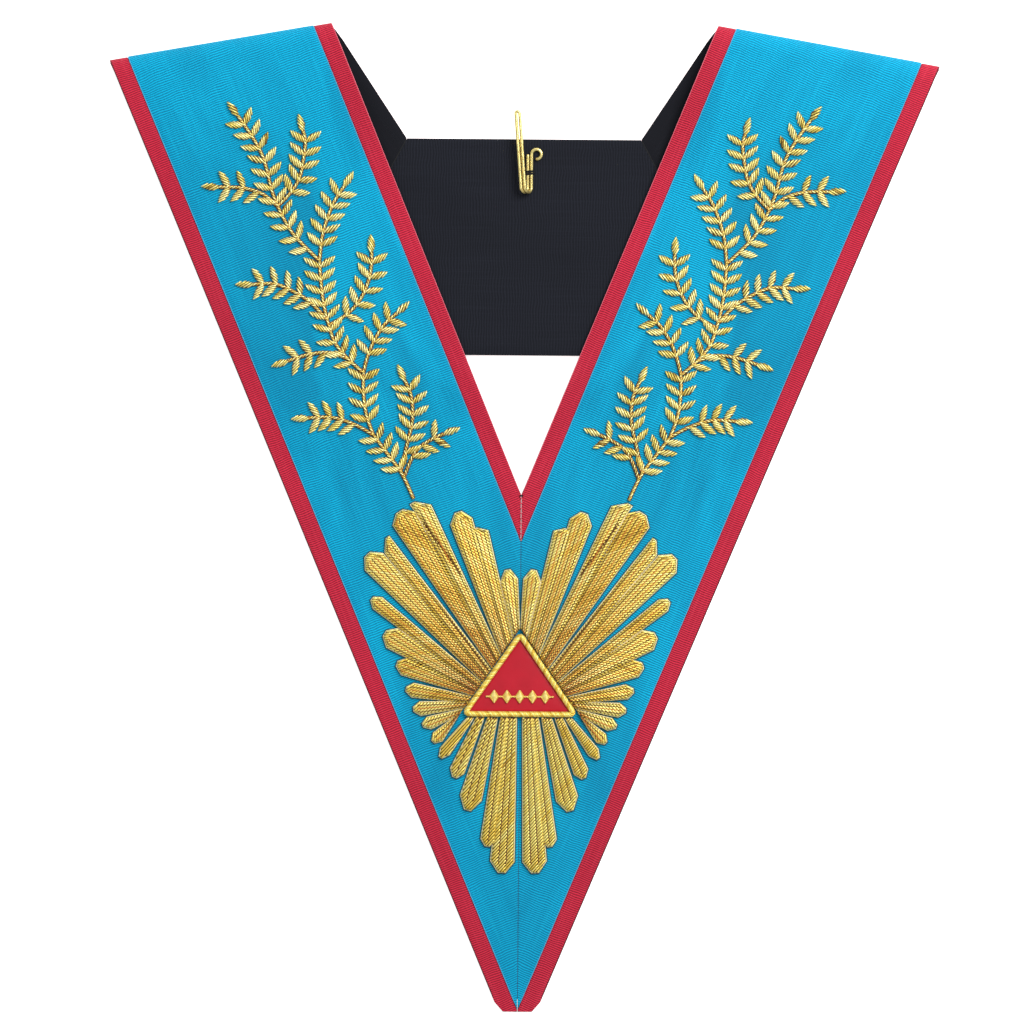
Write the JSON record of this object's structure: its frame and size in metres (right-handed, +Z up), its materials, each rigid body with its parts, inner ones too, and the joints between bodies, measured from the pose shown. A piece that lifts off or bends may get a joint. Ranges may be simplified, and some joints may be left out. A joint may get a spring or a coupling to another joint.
{
  "type": "masonic collar",
  "caption": "V-shaped blue ribbon collar lying flat, with red edges, gold acacia sprigs, a triangle in a glory of rays, a black lined back yoke and a wire hook.",
  "frame": {"origin": "middle of the bounding box, on the surface that the collar lies on", "axes": "+Z up, out of the front of the collar; -Y towards the point of the V; +X to the viewer's right"},
  "size_m": [0.3892, 0.4633, 0.0123],
  "materials": {
    "blue_ribbon": "ribbed ribbon with a watered sheen",
    "red_edging": "ribbed ribbon with a satin sheen",
    "black_lining": "finely ribbed, matt",
    "gold_bullion": "metallic thread, glossy",
    "red_satin": "smooth satin",
    "brass_wire": "polished"
  },
  "bodies": {
    "root": {"left_face": "blue_ribbon", "left_nape_face": "blue_ribbon", "left_inner_edging": "red_edging", "left_nape_inner_edging": "red_edging", "left_outer_edging": "red_edging", "left_nape_outer_edging": "red_edging", "left_lining": "black_lining", "left_nape_lining": "black_lining", "left_acacia": "gold_bullion", "left_ray_01": "gold_bullion", "left_ray_02": "gold_bullion", "left_ray_03": "gold_bullion", "left_ray_04": "gold_bullion", "left_ray_05": "gold_bullion", "left_ray_06": "gold_bullion", "left_ray_07": "gold_bullion", "left_ray_08": "gold_bullion", "left_ray_09": "gold_bullion", "left_ray_10": "gold_bullion", "left_ray_11": "gold_bullion", "right_face": "blue_ribbon", "right_nape_face": "blue_ribbon", "right_inner_edging": "red_edging", "right_nape_inner_edging": "red_edging", "right_outer_edging": "red_edging", "right_nape_outer_edging": "red_edging", "right_lining": "black_lining", "right_nape_lining": "black_lining", "right_acacia": "gold_bullion", "right_ray_01": "gold_bullion", "right_ray_02": "gold_bullion", "right_ray_03": "gold_bullion", "right_ray_04": "gold_bullion", "right_ray_05": "gold_bullion", "right_ray_06": "gold_bullion", "right_ray_07": "gold_bullion", "right_ray_08": "gold_bullion", "right_ray_09": "gold_bullion", "right_ray_10": "gold_bullion", "right_ray_11": "gold_bullion", "back_face": "blue_ribbon", "back_top_edging": "red_edging", "back_bottom_edging": "red_edging", "back_lining": "black_lining", "triangle_rope": "gold_bullion", "triangle_patch": "red_satin", "patch_lozenges": "gold_bullion", "nape_hook": "brass_wire"}
  },
  "joints": []
}
